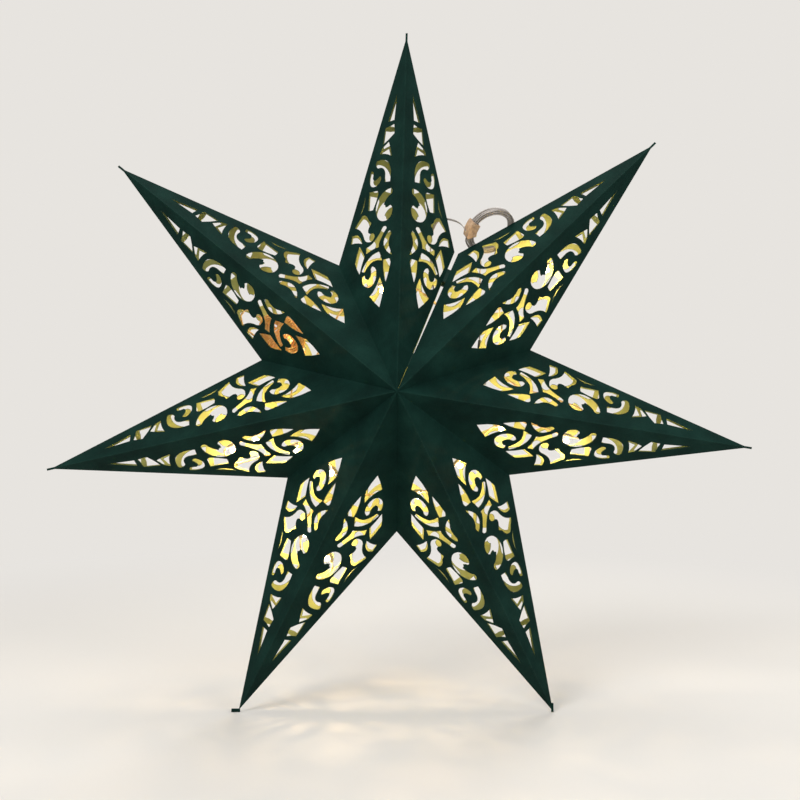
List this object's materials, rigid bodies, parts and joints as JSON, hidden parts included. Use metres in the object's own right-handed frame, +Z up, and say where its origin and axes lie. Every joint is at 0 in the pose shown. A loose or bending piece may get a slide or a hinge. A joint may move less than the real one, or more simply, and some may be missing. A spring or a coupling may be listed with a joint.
{
  "type": "paper star lantern",
  "caption": "Hollow folded card star lantern with scroll cut-outs and a warm light string inside.",
  "frame": {"origin": "on the ground under the middle of the star, whose lowest tips stand there", "axes": "+X to the viewer's right, +Y from the front face to the back, +Z up"},
  "size_m": [0.6013, 0.17, 0.5789],
  "materials": {
    "card": "dark green dyed card, yellow-green inside",
    "sticky_pad": "thin dark foam pad",
    "wire": "thin clear-grey insulation",
    "lamp": "clear resin, lit warm white",
    "paper_tape": "tan paper tape",
    "plug_plastic": "moulded soft grey plastic",
    "plug_metal": "thin folded sheet, nickel plated",
    "tongue_plastic": "white plastic",
    "contact_metal": "gold-plated strips"
  },
  "bodies": {
    "root": {"arm_top": "card", "arm_upper_right": "card", "arm_right": "card", "arm_lower_right": "card", "arm_lower_left": "card", "arm_left": "card", "arm_upper_left": "card", "seam_pad_front_outer": "sticky_pad", "seam_pad_front_inner": "sticky_pad", "seam_pad_back_outer": "sticky_pad", "seam_pad_back_inner": "sticky_pad", "light_wire": "wire", "wire_bundle": "wire", "lamp_1": "lamp", "lamp_2": "lamp", "lamp_3": "lamp", "lamp_4": "lamp", "lamp_5": "lamp", "lamp_6": "lamp", "lamp_7": "lamp", "lamp_8": "lamp", "lamp_9": "lamp", "lamp_10": "lamp", "lamp_11": "lamp", "lamp_12": "lamp", "lamp_13": "lamp", "lamp_14": "lamp", "lead_upper": "wire", "lead_hank": "wire", "tape_band": "paper_tape", "lead_lower": "wire", "plug_grip": "plug_plastic", "plug_shell": "plug_metal", "plug_tongue": "tongue_plastic", "plug_contacts": "contact_metal"}
  },
  "joints": []
}
